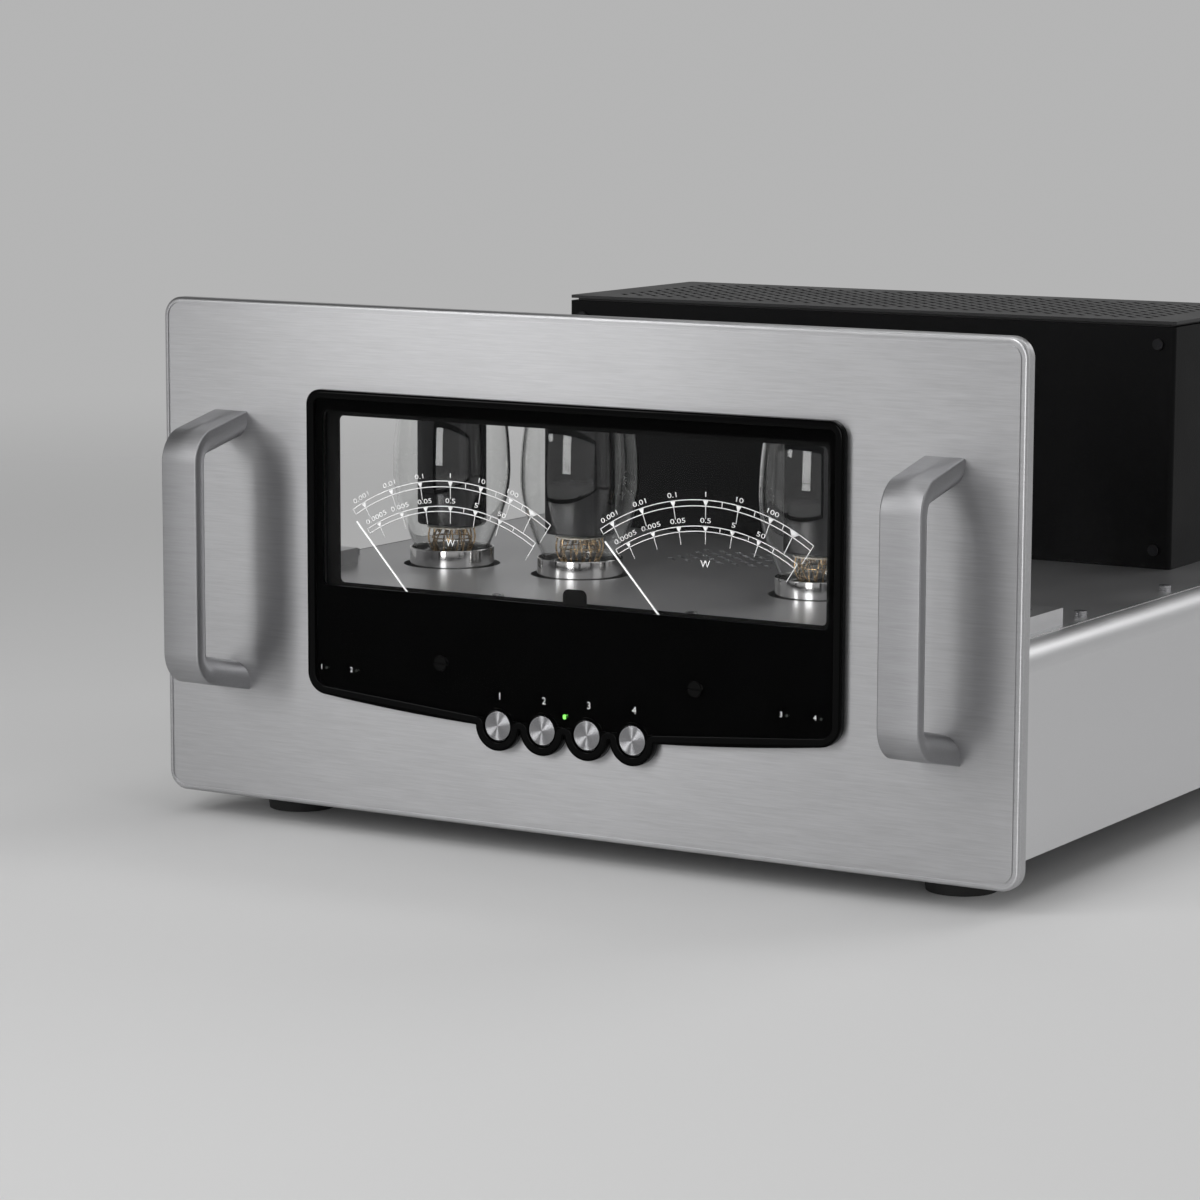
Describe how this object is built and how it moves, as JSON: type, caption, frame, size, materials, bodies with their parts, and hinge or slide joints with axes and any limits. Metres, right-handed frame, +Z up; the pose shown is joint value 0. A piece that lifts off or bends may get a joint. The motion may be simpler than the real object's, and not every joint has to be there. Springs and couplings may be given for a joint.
{
  "type": "stereo power amplifier",
  "caption": "Stereo valve power amplifier with a brushed front panel, grab handles, see-through twin meters, push buttons, exposed power tubes and a slotted rear cover.",
  "frame": {"origin": "on the floor, in the middle of the overall box", "axes": "+X to the right seen from the front, +Y towards the rear sockets, +Z up"},
  "size_m": [0.4826, 0.521, 0.266],
  "materials": {
    "brushed_aluminium": "horizontally brushed, clear anodised",
    "handle_aluminium": "brushed across the bar, clear anodised",
    "gloss_black": "polished black acrylic",
    "mask_black": "matt black print",
    "clear_acrylic": "clear polished sheet",
    "needle_white": "white paint",
    "movement_case": "dark grey enamel",
    "zero_screw_black": "black moulded screw",
    "spun_aluminium": "spun face, bright edge",
    "circuit_board": "green solder resist",
    "lamp_green": "green light pipe",
    "satin_aluminium": "bead blasted satin",
    "bottom_grey": "dark grey paint",
    "foot_rubber": "matt rubber",
    "screw_steel": "plated steel",
    "tube_glass": "clear blown glass",
    "base_chrome": "bright plated",
    "anode_grey": "carbonised metal",
    "socket_ceramic": "glazed ceramic",
    "cover_black": "fine textured black paint",
    "core_iron": "varnished laminations",
    "capacitor_sleeve": "black sleeve",
    "inlet_black": "moulded black",
    "jack_gold": "gold flash",
    "knob_red": "moulded red",
    "knob_black": "moulded black"
  },
  "bodies": {
    "chassis": {"front_panel": "brushed_aluminium", "left_handle": "handle_aluminium", "right_handle": "handle_aluminium", "handle_screws": "screw_steel", "fascia": "gloss_black", "window_pane": "clear_acrylic", "meter_mask": "mask_black", "scale_plate": "clear_acrylic", "left_movement": "movement_case", "right_movement": "movement_case", "switch_board": "circuit_board", "indicator_lamps": "lamp_green", "fixing_blocks": "satin_aluminium", "left_side": "satin_aluminium", "right_side": "satin_aluminium", "deck_plate": "satin_aluminium", "bottom_plate": "bottom_grey", "rear_panel": "satin_aluminium", "feet": "foot_rubber", "foot_screws": "screw_steel", "chassis_screws": "screw_steel", "tube_bulb_1": "tube_glass", "tube_bulb_2": "tube_glass", "tube_bulb_3": "tube_glass", "tube_bulb_4": "tube_glass", "tube_bases": "base_chrome", "tube_plates_1": "anode_grey", "tube_plates_2": "anode_grey", "tube_plates_3": "anode_grey", "tube_plates_4": "anode_grey", "tube_sockets": "socket_ceramic", "driver_bulbs": "tube_glass", "driver_plates": "anode_grey", "driver_sockets": "socket_ceramic", "cover_shell": "cover_black", "cover_grille": "cover_black", "cover_screws": "cover_black", "power_transformer": "core_iron", "left_output_transformer": "core_iron", "right_output_transformer": "core_iron", "filter_capacitors": "capacitor_sleeve", "main_board": "circuit_board", "board_standoffs": "screw_steel", "mains_inlet": "inlet_black", "input_jacks": "jack_gold", "speaker_posts": "jack_gold"},
    "left_needle": {"left_needle": "needle_white"},
    "right_needle": {"right_needle": "needle_white"},
    "left_zero_screw": {"left_zero_screw": "zero_screw_black"},
    "right_zero_screw": {"right_zero_screw": "zero_screw_black"},
    "button_1": {"button_1": "spun_aluminium"},
    "button_2": {"button_2": "spun_aluminium"},
    "button_3": {"button_3": "spun_aluminium"},
    "button_4": {"button_4": "spun_aluminium"},
    "speaker_knob_1": {"speaker_knob_1": "knob_red"},
    "speaker_knob_2": {"speaker_knob_2": "knob_red"},
    "speaker_knob_3": {"speaker_knob_3": "knob_black"},
    "speaker_knob_4": {"speaker_knob_4": "knob_black"},
    "speaker_knob_5": {"speaker_knob_5": "knob_red"},
    "speaker_knob_6": {"speaker_knob_6": "knob_red"}
  },
  "joints": [
    {"name": "left_needle_swing", "type": "hinge", "parent": "chassis", "child": "left_needle", "pos_m": [-0.072, -0.2135, 0.0995], "axis": [0, 1, 0], "range_deg": [0, 84], "stiffness_Nm_per_rad": 0.0003},
    {"name": "right_needle_swing", "type": "hinge", "parent": "chassis", "child": "right_needle", "pos_m": [0.072, -0.2135, 0.0995], "axis": [0, 1, 0], "range_deg": [0, 84], "stiffness_Nm_per_rad": 0.0003},
    {"name": "left_zero_turn", "type": "hinge", "parent": "chassis", "child": "left_zero_screw", "pos_m": [-0.072, -0.2165, 0.092], "axis": [0, 1, 0], "range_deg": [-25, 25]},
    {"name": "right_zero_turn", "type": "hinge", "parent": "chassis", "child": "right_zero_screw", "pos_m": [0.072, -0.2165, 0.092], "axis": [0, 1, 0], "range_deg": [-25, 25]},
    {"name": "button_1_press", "type": "slide", "parent": "chassis", "child": "button_1", "axis": [0, 1, 0], "range_m": [0, 0.0018], "stiffness_N_per_m": 400},
    {"name": "button_2_press", "type": "slide", "parent": "chassis", "child": "button_2", "axis": [0, 1, 0], "range_m": [0, 0.0018], "stiffness_N_per_m": 400},
    {"name": "button_3_press", "type": "slide", "parent": "chassis", "child": "button_3", "axis": [0, 1, 0], "range_m": [0, 0.0018], "stiffness_N_per_m": 400},
    {"name": "button_4_press", "type": "slide", "parent": "chassis", "child": "button_4", "axis": [0, 1, 0], "range_m": [0, 0.0018], "stiffness_N_per_m": 400},
    {"name": "speaker_knob_1_turn", "type": "hinge", "parent": "chassis", "child": "speaker_knob_1", "pos_m": [-0.052, 0.2505, 0.0705], "axis": [0, 1, 0], "range_deg": [0, 720]},
    {"name": "speaker_knob_2_turn", "type": "hinge", "parent": "chassis", "child": "speaker_knob_2", "pos_m": [-0.078, 0.2505, 0.0705], "axis": [0, 1, 0], "range_deg": [0, 720]},
    {"name": "speaker_knob_3_turn", "type": "hinge", "parent": "chassis", "child": "speaker_knob_3", "pos_m": [-0.104, 0.2505, 0.0705], "axis": [0, 1, 0], "range_deg": [0, 720]},
    {"name": "speaker_knob_4_turn", "type": "hinge", "parent": "chassis", "child": "speaker_knob_4", "pos_m": [0.052, 0.2505, 0.0705], "axis": [0, 1, 0], "range_deg": [0, 720]},
    {"name": "speaker_knob_5_turn", "type": "hinge", "parent": "chassis", "child": "speaker_knob_5", "pos_m": [0.078, 0.2505, 0.0705], "axis": [0, 1, 0], "range_deg": [0, 720]},
    {"name": "speaker_knob_6_turn", "type": "hinge", "parent": "chassis", "child": "speaker_knob_6", "pos_m": [0.104, 0.2505, 0.0705], "axis": [0, 1, 0], "range_deg": [0, 720]}
  ]
}
